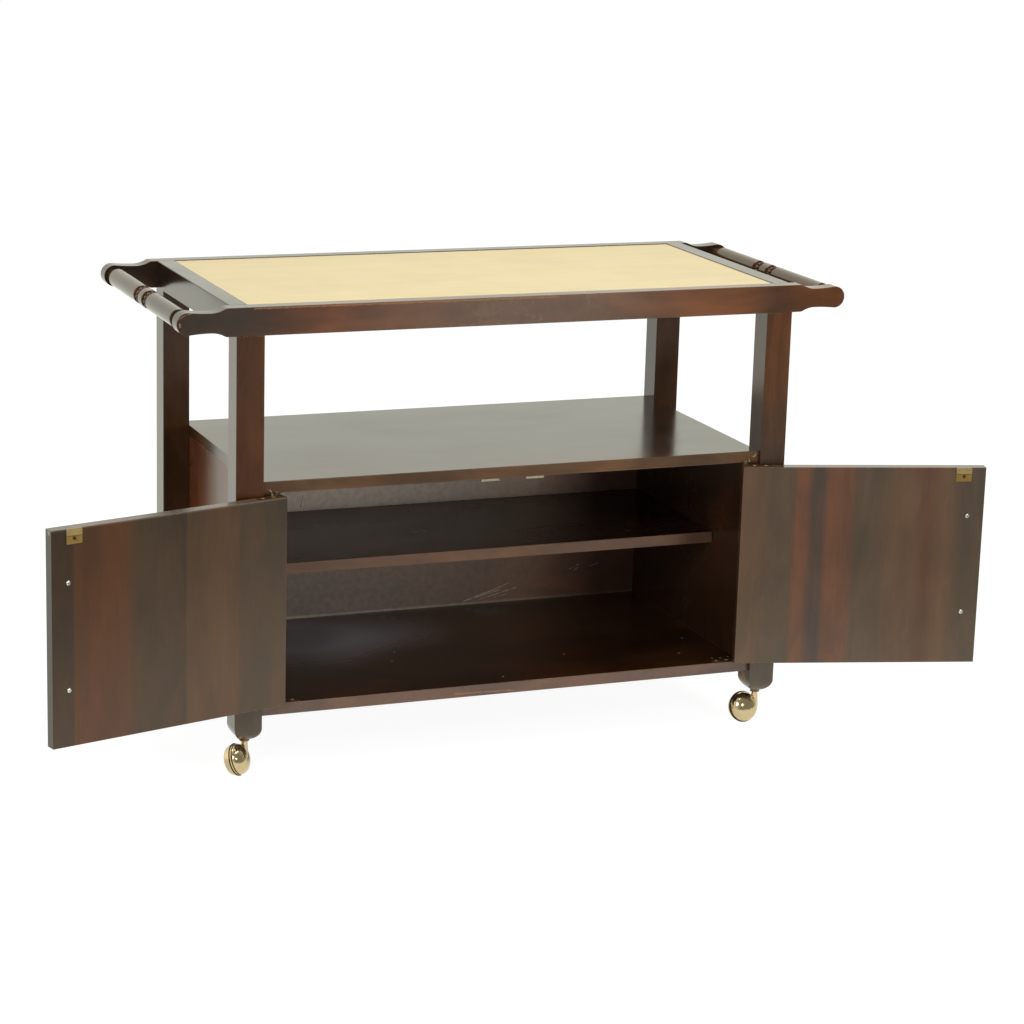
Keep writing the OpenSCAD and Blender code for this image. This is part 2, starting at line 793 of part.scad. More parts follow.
// Casters, drawn about the swivel axis with the trail along +X and the hood on the +Y side.
// Along the axle the coordinate runs from the wheel to the hood. The rim is a cone that
// lies flat on the floor at its lowest line, straight behind the swivel axis.
ball_z = wheel_r * cos(axle_tilt) + hood_gap * sin(axle_tilt);
ball_y = (hood_gap + rim_w / 2) * cos(axle_tilt) - (wheel_r - rim_w / 2 * tan(axle_tilt)) * sin(axle_tilt);
rim_r = wheel_r - rim_w * tan(axle_tilt);
dome_r = rim_r - 0.8;
hood_r = wheel_r - 1.5;
rim_z = -hood_gap - rim_w;
axle_z0 = rim_z - wheel_dome / 2;
axle_z1 = hood_dome - hood_wall - 2;
sleeve_d = 11;
sleeve_l = stem_l + 2;
hub_d = 16;
hub_l = hood_dome * 0.45;
hub_play = 0.5;
wheel_room = 0.8;
ferrule_play = 0.4;

function heading(i) = [heading_fl, heading_fr, heading_bl, heading_br][i];
function corner_x(i) = [-1, 1, -1, 1][i];
function corner_y(i) = [-1, -1, 1, 1][i];

module at_caster(i) {
    placed() translate([corner_x(i) * post_x, corner_y(i) * post_y, 0])
        rotate([0, 0, heading(i)]) children();
}

// Turns +Z to the axle, pointing to the hood and up
module on_axle() {
    translate([trail, ball_y, ball_z]) rotate([axle_tilt - 90, 0, 0]) children();
}

function dome(r, h, n) = [for (i = [0:n]) [r * cos(90 * i / n), h * sin(90 * i / n)]];

function raised(points, z) = [for (p = points) [p.x, p.y + z]];

hood_profile = concat(
    [[0, 0], [hood_r, 0], [hood_r, lip_w], [hood_r - lip_deep, lip_w], [hood_r - lip_deep, lip_w * 1.5]],
    raised(dome(hood_r - lip_deep / 3, hood_dome - lip_w * 1.5, 12), lip_w * 1.5)
);

// The wheel: a rolling rim, a shallow dome outside and a hub that runs inside the hood
module wheel(i) {
    at_caster(i) color(brass) on_axle()
        difference() {
            union() {
                rotate_extrude() translate([0, rim_z]) mirror([0, 1])
                    polygon(concat([[0, 0]], dome(dome_r, wheel_dome, 12)));
                rotate_extrude() polygon([[0, rim_z], [rim_r, rim_z], [wheel_r, -hood_gap], [0, -hood_gap]]);
                translate([0, 0, rim_z]) cylinder(d = hub_d, h = hub_l - rim_z);
            }
            translate([0, 0, axle_z0]) cylinder(d = axle_d + 2 * caster_play, h = hub_l - axle_z0 + 1);
        }
}

module axle(i) {
    at_caster(i) color(steel) on_axle()
        translate([0, 0, axle_z0 + hub_play]) cylinder(d = axle_d, h = axle_z1 - axle_z0 - hub_play);
}

// The hood: a domed shell with a boss for the axle and a neck that runs up to the stem
module hood(i) {
    at_caster(i) color(brass)
        difference() {
            union() {
                on_axle() rotate_extrude() polygon(hood_profile);
                translate([0, 0, ball_z]) cylinder(d1 = caster_neck_d + 3, d2 = caster_neck_d,
                                                   h = caster_h - ferrule_h - ferrule_play - ball_z);
                translate([0, 0, caster_h - ferrule_h - 1]) cylinder(d = stem_d, h = ferrule_h + stem_l + 1);
            }
            on_axle() {
                // room for the wheel
                translate([0, 0, -2 * wheel_r]) cylinder(r = wheel_r + wheel_room, h = 2 * wheel_r);
                // inside of the hood, round the boss of the axle
                difference() {
                    rotate_extrude() translate([0, -e])
                        polygon(concat([[0, 0]], dome(hood_r - hood_wall, hood_dome - hood_wall, 12)));
                    translate([0, 0, hub_l + hub_play]) cylinder(d = hub_d, h = hood_dome);
                }
                translate([0, 0, -1]) cylinder(d = axle_d, h = axle_z1 + 1);
            }
        }
}

// Sleeve in the post with a ferrule against its foot
module caster_sockets() {
    for (i = [0:3]) at_caster(i) color(brass)
        difference() {
            union() {
                translate([0, 0, caster_h - ferrule_h]) cylinder(d = ferrule_d, h = ferrule_h);
                translate([0, 0, caster_h - e]) cylinder(d = sleeve_d, h = sleeve_l + e);
            }
            translate([0, 0, caster_h - ferrule_h - e])
                cylinder(d = stem_d + 2 * caster_play, h = ferrule_h + stem_l + 0.5 + e);
        }
}

long_rail(-1);  // front_rail
long_rail(1);  // back_rail
end_rail(-1);  // left_end_rail
end_rail(1);  // right_end_rail
top_cleats();
top_board();
laminate_top();
handle(-1);  // left_handle
handle(1);  // right_handle
corner_post(-1, -1);  // front_left_post
corner_post(1, -1);  // front_right_post
corner_post(-1, 1);  // back_left_post
corner_post(1, 1);  // back_right_post
flat_board(in_top_z, true);  // cabinet_top
flat_board(cabinet_under_z, false);  // cabinet_bottom
side_panel(-1);  // left_side_panel
side_panel(1);  // right_side_panel
back_panel();
middle_shelf();
shelf_pins();
side_panel_screws();
cabinet_hinge_leaves();
hinge_pins();
cabinet_hinge_screws();
door_catches();
catch_screws();
door(-1);  // left_door
door_hinge_leaves(-1);  // left_door_hinge_leaves
door_hinge_screws(-1);  // left_door_hinge_screws
strike_plate(-1);  // left_strike_plate
strike_screw(-1);  // left_strike_screw
pull(-1);  // left_pull
pull_screws(-1);  // left_pull_screws
door(1);  // right_door
door_hinge_leaves(1);  // right_door_hinge_leaves
door_hinge_screws(1);  // right_door_hinge_screws
strike_plate(1);  // right_strike_plate
strike_screw(1);  // right_strike_screw
pull(1);  // right_pull
pull_screws(1);  // right_pull_screws
caster_sockets();
hood(0);  // front_left_hood
axle(0);  // front_left_axle
wheel(0);  // front_left_wheel
hood(1);  // front_right_hood
axle(1);  // front_right_axle
wheel(1);  // front_right_wheel
hood(2);  // back_left_hood
axle(2);  // back_left_axle
wheel(2);  // back_left_wheel
hood(3);  // back_right_hood
axle(3);  // back_right_axle
wheel(3);  // back_right_wheel
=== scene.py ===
import json
import math

import bpy
from mathutils import Matrix, Vector


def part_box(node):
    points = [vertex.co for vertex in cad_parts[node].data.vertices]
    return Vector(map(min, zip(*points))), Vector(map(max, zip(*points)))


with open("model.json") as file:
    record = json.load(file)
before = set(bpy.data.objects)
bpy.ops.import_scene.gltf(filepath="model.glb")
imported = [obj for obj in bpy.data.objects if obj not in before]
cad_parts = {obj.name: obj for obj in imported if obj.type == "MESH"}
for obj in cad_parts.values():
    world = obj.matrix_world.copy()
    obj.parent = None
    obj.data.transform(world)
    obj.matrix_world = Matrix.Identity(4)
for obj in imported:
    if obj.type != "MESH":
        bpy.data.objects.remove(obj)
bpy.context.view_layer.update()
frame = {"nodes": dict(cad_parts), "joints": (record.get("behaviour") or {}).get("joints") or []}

# Top frame.
# Two long rails with shaped ends and two straight end rails of solid hardwood, mortised
# together and stained a dark red brown. Their satin lacquer has rubbed thin along the edges.


def plug(tree, socket, value):
    if isinstance(value, bpy.types.NodeSocket):
        tree.links.new(value, socket)
    else:
        socket.default_value = value


def shader_node(tree, kind, settings=None, **sockets):
    """Adds a node. A socket is named with _ for a space, and takes a value or an output."""
    made = tree.nodes.new("ShaderNode" + kind)
    for name, value in (settings or {}).items():
        setattr(made, name, value)
    for name, value in sockets.items():
        plug(tree, made.inputs[name.replace("_", " ")], value)
    return made


def calc(tree, operation, a, b=0.0, c=0.0):
    made = tree.nodes.new("ShaderNodeMath")
    made.operation = operation
    for socket, value in zip(made.inputs, (a, b, c)):
        plug(tree, socket, value)
    return made.outputs[0]


def vector_calc(tree, operation, a, b):
    """Joins two vectors. Gives the vector, or the number where the operation makes one."""
    made = tree.nodes.new("ShaderNodeVectorMath")
    made.operation = operation
    plug(tree, made.inputs[0], a)
    plug(tree, made.inputs[1], b)
    return made.outputs["Value" if operation in ("DISTANCE", "DOT_PRODUCT") else "Vector"]


def tinted(tree, share, under, over, way="MIX"):
    """Lays one colour over another by a share from 0 to 1."""
    made = tree.nodes.new("ShaderNodeMix")
    made.data_type = "RGBA"
    made.blend_type = way
    plug(tree, made.inputs[0], share)
    plug(tree, made.inputs[6], under)
    plug(tree, made.inputs[7], over)
    return made.outputs[2]


def between(tree, value, low, high, to_low=0.0, to_high=1.0, slope="SMOOTHSTEP"):
    made = shader_node(tree, "MapRange", {"interpolation_type": slope},
                       Value=value, From_Min=low, From_Max=high, To_Min=to_low, To_Max=to_high)
    return made.outputs[0]


def along_axis(tree, place, axis):
    """The part of a place along the axis X, Y or Z."""
    return shader_node(tree, "SeparateXYZ", Vector=place).outputs[axis]


def colour_ramp(tree, value, stops):
    """Colours along an axis. A stop is a place in metres, a colour and a share."""
    start, width = stops[0][0], stops[-1][0] - stops[0][0]
    made = tree.nodes.new("ShaderNodeValToRGB")
    plug(tree, made.inputs[0], between(tree, value, start, start + width, slope="LINEAR"))
    points = made.color_ramp.elements
    points.remove(points[1])
    for i, (place, *colour) in enumerate(stops):
        point = points.new((place - start) / width) if i else points[0]
        point.color = colour
    return made.outputs


def noise(tree, place, stretch, detail=3.0, roughness=0.55, distortion=0.0):
    """Noise whose cells are 1/stretch metres long on each axis."""
    lay = shader_node(tree, "Mapping", Vector=place, Scale=stretch)
    made = shader_node(tree, "TexNoise", Vector=lay.outputs[0], Scale=1.0, Detail=detail,
                       Roughness=roughness, Distortion=distortion)
    return made.outputs[0]


def new_material(name):
    made = bpy.data.materials.new(name)
    made.use_nodes = True
    made.node_tree.nodes.clear()
    return made, made.node_tree


def finished(tree, surface):
    end = tree.nodes.new("ShaderNodeOutputMaterial")
    tree.links.new(surface.outputs[0], end.inputs["Surface"])


def along_grain(tree, place, grain):
    """Turns the axes so that the first runs along the grain."""
    x, y, z = shader_node(tree, "SeparateXYZ", Vector=place).outputs[:3]
    order = {"X": (x, y, z), "Y": (y, x, z), "Z": (z, x, y)}[grain]
    return shader_node(tree, "CombineXYZ", X=order[0], Y=order[1], Z=order[2]).outputs[0]


def rub_marks(tree, place, marks, ragged):
    """Share of each mark, given as a point and a radius in metres."""
    total = 0.0
    for point, radius in marks:
        away = vector_calc(tree, "DISTANCE", place, point)
        uneven = calc(tree, "MULTIPLY_ADD", ragged, 1.1 * radius, away)
        mark = between(tree, uneven, 1.75 * radius, 1.1 * radius)
        total = calc(tree, "MAXIMUM", total, mark)
    return total


def scratch_marks(tree, place, scratches, ragged):
    """Share of each thin scratch, given as its two ends and its half width in metres."""
    total = 0.0
    for start, end, width in scratches:
        start, way = Vector(start), Vector(end) - Vector(start)
        inward = vector_calc(tree, "SUBTRACT", place, start)
        reach = vector_calc(tree, "DOT_PRODUCT", inward, way / way.length_squared)
        reach = between(tree, reach, 0.0, 1.0, slope="LINEAR")
        foot = shader_node(tree, "CombineXYZ", X=reach, Y=reach, Z=reach).outputs[0]
        foot = vector_calc(tree, "MULTIPLY", foot, way)
        away = vector_calc(tree, "DISTANCE", inward, foot)
        uneven = calc(tree, "MULTIPLY_ADD", ragged, 3.0 * width, away)
        total = calc(tree, "MAXIMUM", total, between(tree, uneven, 2.9 * width, 1.7 * width))
    return total


dark_stain = (0.040, 0.0195, 0.0095, 1.0)
warm_stain = (0.118, 0.049, 0.019, 1.0)
rubbed_wood = (0.34, 0.15, 0.055, 1.0)
grey_dust = (0.21, 0.19, 0.16, 1.0)
pore_shadow = (0.012, 0.006, 0.004, 1.0)
chipped_wood = (0.42, 0.33, 0.24, 1.0)
pale_scratch = (0.46, 0.42, 0.35, 1.0)
crack_shadow = (0.006, 0.004, 0.003, 1.0)


def stained_wood(name, grain, dark=dark_stain, warm=warm_stain, turn=0.0, strips=None,
                 zones=(), dust=grey_dust, dust_and_reflection_spots=(), marks=(), rubs=(), chips=(),
                 scratches=(), cracks=(), edge_rub=0.55, haze=0.0, gloss=0.15):
    """Dark stained hardwood under satin lacquer.

    turn lays the pattern square to a board that stands at an angle about Z. strips are the
    glued boards of a panel, as stops across it. zones are axis names, each with stops along
    it, whose colours multiply the stain and whose shares multiply to the share of dust; some
    parts use them for painted light and shade. dust_and_reflection_spots are a point, a radius
    and a share, for dust with a painted reflection. marks and rubs are rubbed to the wood, and
    chips and scratches to its pale inside. haze is dust and dullness all over.
    """
    made, tree = new_material(name)
    place = shader_node(tree, "TexCoord").outputs["Object"]
    square = shader_node(tree, "Mapping", Vector=place, Rotation=(0.0, 0.0, turn)).outputs[0]
    lay = along_grain(tree, square, grain)

    figure = noise(tree, lay, (4.5, 15.0, 15.0), 4.0, 0.55, 0.9)
    cloud = noise(tree, lay, (5.0, 8.0, 8.0), 3.0, 0.6)
    mottle = noise(tree, place, (85.0, 85.0, 85.0), 4.0, 0.6)
    fibre = noise(tree, lay, (14.0, 270.0, 270.0), 5.0, 0.62)
    pores = noise(tree, lay, (55.0, 1500.0, 1500.0), 2.0, 0.5)
    ragged = noise(tree, place, (160.0, 160.0, 160.0), 4.0, 0.65)

    if strips:
        board = colour_ramp(tree, along_axis(tree, square, "X"), strips)[0]
        dark = tinted(tree, 1.0, board, (0.76, 0.80, 0.86, 1.0), "MULTIPLY")
        warm = tinted(tree, 1.0, board, (1.30, 1.18, 1.06, 1.0), "MULTIPLY")
    warmth = calc(tree, "MULTIPLY_ADD", between(tree, figure, 0.34, 0.68), 0.50,
                  between(tree, cloud, 0.34, 0.70, 0.06, 0.42))
    colour = tinted(tree, warmth, dark, warm)
    streak = between(tree, fibre, 0.28, 0.72, 0.95, 1.05)
    colour = tinted(tree, 1.0, colour, streak, "MULTIPLY")
    dull = between(tree, cloud, 0.30, 0.75, 0.35 * haze, haze)
    dusty = between(tree, mottle, 0.3, 0.7, 0.86, 1.12) if zones else 0.0
    for axis, stops in zones:
        shade, share = colour_ramp(tree, along_axis(tree, place, axis), stops)[:2]
        colour = tinted(tree, 1.0, colour, shade, "MULTIPLY")
        dusty = calc(tree, "MULTIPLY", dusty, share)
    dull = calc(tree, "ADD", dull, dusty)
    for point, radius, share in dust_and_reflection_spots:
        away = vector_calc(tree, "DISTANCE", place, point)
        dull = calc(tree, "ADD", dull, between(tree, away, radius, 0.0, 0.0, share))
    open_pore = between(tree, pores, 0.60, 0.72)
    colour = tinted(tree, calc(tree, "MULTIPLY", open_pore, 0.22), colour, pore_shadow)
    colour = tinted(tree, dull, colour, dust)

    rounded = shader_node(tree, "Bevel", {"samples": 4}, Radius=0.0022).outputs[0]
    facing = shader_node(tree, "NewGeometry").outputs["Normal"]
    edge = between(tree, vector_calc(tree, "DOT_PRODUCT", rounded, facing), 0.985, 0.82)
    worn = calc(tree, "MULTIPLY", edge, between(tree, ragged, 0.42, 0.62, 0.12, edge_rub))
    worn = calc(tree, "MAXIMUM", worn, rub_marks(tree, place, marks, ragged))
    worn = calc(tree, "MAXIMUM", worn,
                calc(tree, "MULTIPLY", scratch_marks(tree, place, rubs, ragged), 0.55))
    colour = tinted(tree, worn, colour, rubbed_wood)
    chipped = calc(tree, "MULTIPLY", rub_marks(tree, place, chips, ragged), 0.8)
    colour = tinted(tree, chipped, colour, chipped_wood)
    broken = between(tree, mottle, 0.42, 0.52, 0.25, 0.9)
    scratched = calc(tree, "MULTIPLY", scratch_marks(tree, place, scratches, ragged), broken)
    colour = tinted(tree, scratched, colour, pale_scratch)
    cracked = scratch_marks(tree, place, cracks, ragged)
    colour = tinted(tree, cracked, colour, crack_shadow)

    relief = calc(tree, "MULTIPLY_ADD", open_pore, -0.6, fibre)
    bump = shader_node(tree, "Bump", Strength=0.08, Distance=0.00025, Height=relief)
    sheen = calc(tree, "MULTIPLY_ADD", worn, 0.25,
                 between(tree, cloud, 0.25, 0.8, gloss, gloss + 0.08))
    sheen = calc(tree, "MULTIPLY_ADD", dull, 0.35, sheen)
    surface = shader_node(tree, "BsdfPrincipled", Base_Color=colour, Roughness=sheen,
                          Normal=bump.outputs[0])
    finished(tree, surface)
    return made


def dress(material, *nodes):
    """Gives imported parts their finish."""
    for name in nodes:
        part = frame["nodes"][name]
        if not part.material_slots:
            part.data.materials.append(material)
        for spot in part.material_slots:
            spot.material = material


def corner(node, x, y, z):
    """A point of a part's box, by shares of its sides."""
    low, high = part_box(node)
    return Vector((low.x + x * (high.x - low.x), low.y + y * (high.y - low.y),
                   low.z + z * (high.z - low.z)))


# The front rail's stain is painted lighter and greyer in the middle, with dust, as a painted
# reflection. It is painted darker at its left end as painted shade, and lighter and warmer
# at its right end as painted light.
front_face = corner("front_rail", 0.0, 0.0, 0.0).y
front_marks = ((Vector((-0.5946, front_face, 0.7715)), 0.0018),
               (Vector((-0.5944, front_face, 0.7680)), 0.0016))
front_rubs = (((-0.47, front_face, 0.7925), (0.06, front_face, 0.7918), 0.0014),
              ((-0.601, front_face, 0.778), (-0.586, front_face, 0.786), 0.0010),
              ((-0.586, front_face, 0.786), (-0.560, front_face, 0.793), 0.0010))
# Painted reflection, painted shade and painted light along the front rail.
front_painted_reflection_zone = ("X", ((-0.60, 0.42, 0.52, 0.70, 0.05), (-0.49, 0.50, 0.60, 0.78, 0.06),
                    (-0.40, 1.08, 0.88, 0.80, 0.03), (-0.34, 1.35, 1.08, 0.92, 0.03),
                    (-0.05, 1.36, 1.30, 1.28, 0.24), (0.12, 1.44, 1.36, 1.32, 0.22),
                    (0.30, 1.52, 1.32, 1.18, 0.03), (0.40, 1.52, 1.30, 1.14, 0.00),
                    (0.47, 0.85, 0.80, 0.80, 0.02), (0.53, 1.85, 1.42, 1.08, 0.00),
                    (0.60, 1.92, 1.46, 1.08, 0.00)))
dress(stained_wood("front_rail_wood", "X", zones=(front_painted_reflection_zone,), marks=front_marks,
                   rubs=front_rubs), "front_rail")
# The back rail and the end rails get a darker stain, which is painted shade.
rail_painted_shade_dark = (0.018, 0.0100, 0.0058, 1.0)
rail_painted_shade_warm = (0.046, 0.0210, 0.0105, 1.0)
dress(stained_wood("back_rail_painted_shade_wood", "X", rail_painted_shade_dark, rail_painted_shade_warm), "back_rail")
dress(stained_wood("end_rail_painted_shade_wood", "Y", rail_painted_shade_dark, rail_painted_shade_warm), "left_end_rail",
      "right_end_rail")

# Serving top.
# A sheet of cream laminate glued to the board inside the frame. Its face is smooth and
# slightly dull, with the faint mottle of old laminate and a dark rim along its left, right
# and back edges, which is painted shade at the step up to the rails.
laminate_cream = (0.80, 0.65, 0.350, 1.0)
laminate_worn = (0.73, 0.585, 0.32, 1.0)
laminate_speck = (0.42, 0.30, 0.14, 1.0)
painted_shade_rim = (0.36, 0.20, 0.06, 1.0)


def laminate():
    made, tree = new_material("cream_laminate")
    place = shader_node(tree, "TexCoord").outputs["Object"]
    mottle = noise(tree, place, (9.0, 9.0, 9.0), 4.0, 0.6)
    speck = noise(tree, place, (420.0, 420.0, 420.0), 2.0, 0.5)
    wiped = noise(tree, place, (3.0, 26.0, 10.0), 3.0, 0.6)
    colour = tinted(tree, between(tree, mottle, 0.35, 0.72, 0.0, 0.55), laminate_cream,
                    laminate_worn)
    colour = tinted(tree, between(tree, speck, 0.66, 0.74, 0.0, 0.12), colour, laminate_speck)
    across, depth = along_axis(tree, place, "X"), along_axis(tree, place, "Y")
    low, high = corner("laminate_top", 0.0, 0.0, 0.0), corner("laminate_top", 1.0, 1.0, 1.0)
    inset = calc(tree, "MINIMUM", calc(tree, "SUBTRACT", high.x, across),
                 calc(tree, "SUBTRACT", across, low.x))
    inset = calc(tree, "MINIMUM", inset, calc(tree, "SUBTRACT", high.y, depth))
    # The dark rim along the left, right and back edges is painted shade.
    colour = tinted(tree, between(tree, inset, 0.0020, 0.0010), colour, painted_shade_rim)
    bump = shader_node(tree, "Bump", Strength=0.05, Distance=0.0001, Height=speck)
    surface = shader_node(tree, "BsdfPrincipled", Base_Color=colour,
                          Roughness=between(tree, wiped, 0.3, 0.7, 0.42, 0.54),
                          Normal=bump.outputs[0])
    finished(tree, surface)
    return made


dress(laminate(), "laminate_top")

# Board and cleats under the serving top.
# The board that the laminate is glued to and the four loose cleats that carry it. Their wood
# is stained like the frame and duller.
bare_dark = (0.034, 0.017, 0.010, 1.0)
bare_warm = (0.066, 0.030, 0.016, 1.0)
dress(stained_wood("under_wood", "X", bare_dark, bare_warm, haze=0.05, gloss=0.30),
      "top_board", "top_cleats")

# Handles.
# Turned bars between the round ends of the long rails, each with a neck at both ends and
# two rings of small turned beads.
dress(stained_wood("handle_wood", "Y", edge_rub=0.3), "left_handle", "right_handle")

# Posts.
# Square legs from the rails to the casters, with rounded feet. The lacquer of the front feet
# is worn to the wood where it was kicked and pushed.
foot = "front_left_post"
foot_marks = ((corner(foot, 0.22, 0.1, 0.004), 0.007), (corner(foot, 0.55, 0.0, 0.002), 0.004))
# The feet are painted greyer and bluer with a little dust, a painted reflection of the floor.
post_tone_and_painted_light_zone = ("Z", ((0.06, 0.70, 0.92, 1.10, 0.05), (0.125, 0.72, 0.92, 1.10, 0.05),
                   (0.16, 0.80, 0.60, 0.38, 0.0), (0.75, 0.80, 0.60, 0.38, 0.0)))
dress(stained_wood("front_left_post_wood", "Z", zones=(post_tone_and_painted_light_zone,), marks=foot_marks), foot)
foot = "front_right_post"
foot_marks = ((corner(foot, 0.0, 0.55, 0.035), 0.010), (corner(foot, 0.0, 0.35, 0.022), 0.006))
# The right post is also painted lighter and warmer towards its top, which is painted light.
post_tone_and_painted_light_zone = ("Z", ((0.06, 0.72, 0.96, 1.10, 0.10), (0.13, 0.72, 0.96, 1.10, 0.10),
                   (0.50, 0.72, 0.76, 0.78, 0.04), (0.62, 0.98, 0.84, 0.58, 0.00),
                   (0.75, 1.20, 0.98, 0.66, 0.00)))
dress(stained_wood("front_right_post_wood", "Z", zones=(post_tone_and_painted_light_zone,), marks=foot_marks), foot)
# The back posts get a darker stain, which is painted shade under the top frame.
back_post_painted_shade_dark = (0.028, 0.0140, 0.0070, 1.0)
back_post_painted_shade_warm = (0.080, 0.034, 0.0140, 1.0)
dress(stained_wood("back_post_painted_shade_wood", "Z", back_post_painted_shade_dark, back_post_painted_shade_warm), "back_left_post",
      "back_right_post")

# Cabinet top and bottom.
# The two lying boards of the cabinet, held between the posts. Their front edges are painted
# lighter than their tops, which is painted light. The front edge of the top is scratched near
# the hinges, and the bottom is dusty inside, with a painted reflection of the back panel laid
# on as bluish dust, and chipped and rubbed in front.
cabinet_front = corner("cabinet_top", 0.0, 0.0, 0.0).y
cabinet_roof = corner("cabinet_top", 0.0, 0.0, 1.0).z
cabinet_floor = corner("cabinet_bottom", 0.0, 0.0, 1.0).z
edge_skin = 0.0008


def front_edge_painted_light_and_dust(node, shade, share):
    """A zone with a lighter shade, which is painted light, and dust on a board's front edge and
    not on its top.
    """
    front = corner(node, 0.0, 0.0, 0.0).y
    return ("Y", ((front, *shade, share), (front + edge_skin, *shade, share),
                  (front + 2.0 * edge_skin, 1.0, 1.0, 1.0, 0.0),
                  (front + 0.01, 1.0, 1.0, 1.0, 0.0)))


front_scratches = tuple(((x, cabinet_front, z), (x + run, cabinet_front, z + rise), 0.0006)
                        for x, z, run, rise in (
    (0.4480, 0.4974, -0.0015, -0.0043), (0.4465, 0.4931, -0.0041, -0.0008),
    (0.4351, 0.4874, 0.0009, -0.0055), (-0.4412, 0.4891, 0.0093, -0.0097)))
top_scratch = ((0.4563, -0.1433, cabinet_roof), (0.4582, -0.1633, cabinet_roof), 0.0007)
dress(stained_wood("cabinet_top_wood", "X", scratches=(*front_scratches, top_scratch),
                   zones=(front_edge_painted_light_and_dust("cabinet_top", (1.22, 1.36, 1.32), 0.01),)),
      "cabinet_top")

bottom_dark = (0.026, 0.0125, 0.0060, 1.0)
bottom_warm = (0.077, 0.031, 0.012, 1.0)
# The bluish spots at the floor's back left are dust and a painted reflection of the back panel.
blue_dust_and_painted_reflection = (0.37, 0.34, 0.37, 1.0)
floor_dust_and_painted_reflection = tuple((Vector((x, y, cabinet_floor)), radius, share)
                   for x, y, radius, share in (
    (-0.26, 0.16, 0.18, 0.80), (-0.12, 0.18, 0.16, 0.45), (-0.34, 0.22, 0.30, 0.75)))
floor_chips = tuple((Vector((x, y, cabinet_floor)), 0.0022) for x, y in (
    (-0.137, 0.045), (-0.159, -0.005), (0.396, -0.020), (-0.0047, -0.1464),
    (0.1495, -0.0520), (0.351, -0.105), (0.395, -0.150), (0.410, -0.152),
    (0.426, -0.150), (-0.394, -0.162)))
floor_zone = ("Y", ((-0.178, 1.0, 1.0, 1.0, 1.0), (-0.174, 0.52, 0.46, 0.42, 1.0),
                    (-0.03, 0.58, 0.52, 0.48, 1.0), (0.09, 1.0, 1.0, 1.0, 1.0),
                    (0.30, 1.0, 1.0, 1.0, 1.0)))
kicked_edge = ((-0.106, cabinet_front, 0.1064), (0.002, cabinet_front, 0.1040), 0.0013)
dress(stained_wood("cabinet_bottom_wood", "X", bottom_dark, bottom_warm,
                   zones=(front_edge_painted_light_and_dust("cabinet_bottom", (1.9, 1.9, 1.9), 0.08), floor_zone),
                   dust=blue_dust_and_painted_reflection, dust_and_reflection_spots=floor_dust_and_painted_reflection, rubs=(kicked_edge,),
                   chips=floor_chips), "cabinet_bottom")

# Side panels.
# Upright boards that close the cabinet's ends, screwed to the posts from inside. The inner face
# is painted much darker than the outer one: painted shade inside the cabinet and painted light
# outside.
# The darker inside stain is painted shade; the back panel uses it too.
inside_painted_shade_dark = (0.024, 0.0105, 0.0055, 1.0)
inside_painted_shade_warm = (0.062, 0.024, 0.0090, 1.0)
outer_painted_light = (3.7, 2.9, 2.6)
for node, outer_side, inner_side in (("left_side_panel", 0.0, 1.0),
                                     ("right_side_panel", 1.0, 0.0)):
    outer = corner(node, outer_side, 0.0, 0.0).x
    inner = corner(node, inner_side, 0.0, 0.0).x
    skin = outer + 0.15 * (inner - outer)
    panel_zone = ("X", sorted(((outer, *outer_painted_light, 0.0), (skin, *outer_painted_light, 0.0),
                               (skin + 0.1 * (inner - outer), 1.0, 1.0, 1.0, 0.0),
                               (inner, 1.0, 1.0, 1.0, 0.0))))
    dress(stained_wood(node + "_wood", "Z", inside_painted_shade_dark, inside_painted_shade_warm, zones=(panel_zone,),
                       gloss=0.22), node)

# Shelf.
# One board that lies on pins in the side panels. Its top gets a darker stain, which is painted
# shade, and its front edge a much lighter one, which is painted light. Dust lies on its back
# left part, with a painted reflection of the back panel.
# A darker stain, painted shade on the shelf's top.
shelf_painted_shade_dark = (0.013, 0.0062, 0.0034, 1.0)
shelf_painted_shade_warm = (0.034, 0.0140, 0.0056, 1.0)
shelf_top = corner("middle_shelf", 0.0, 0.0, 1.0).z
shelf_dust_and_painted_reflection = ((Vector((-0.32, 0.28, shelf_top)), 0.16, 0.32),
              (Vector((-0.14, 0.29, shelf_top)), 0.13, 0.22))
dress(stained_wood("shelf_wood", "X", shelf_painted_shade_dark, shelf_painted_shade_warm,
                   zones=(front_edge_painted_light_and_dust("middle_shelf", (4.4, 4.2, 4.0), 0.12),),
                   dust_and_reflection_spots=shelf_dust_and_painted_reflection, gloss=0.22), "middle_shelf")

# Back panel.
# A thin panel that closes the cabinet behind. Its inner face is dull with dust. Painted light
# lies over it as heavier pale dust on the left and above the shelf and as a lighter stain on
# the right. There is a pale line along the floor, scratches and a crack.
back_face = corner("back_panel", 0.0, 0.0, 0.0).y
olive_dust_and_painted_light = (0.58, 0.50, 0.42, 1.0)
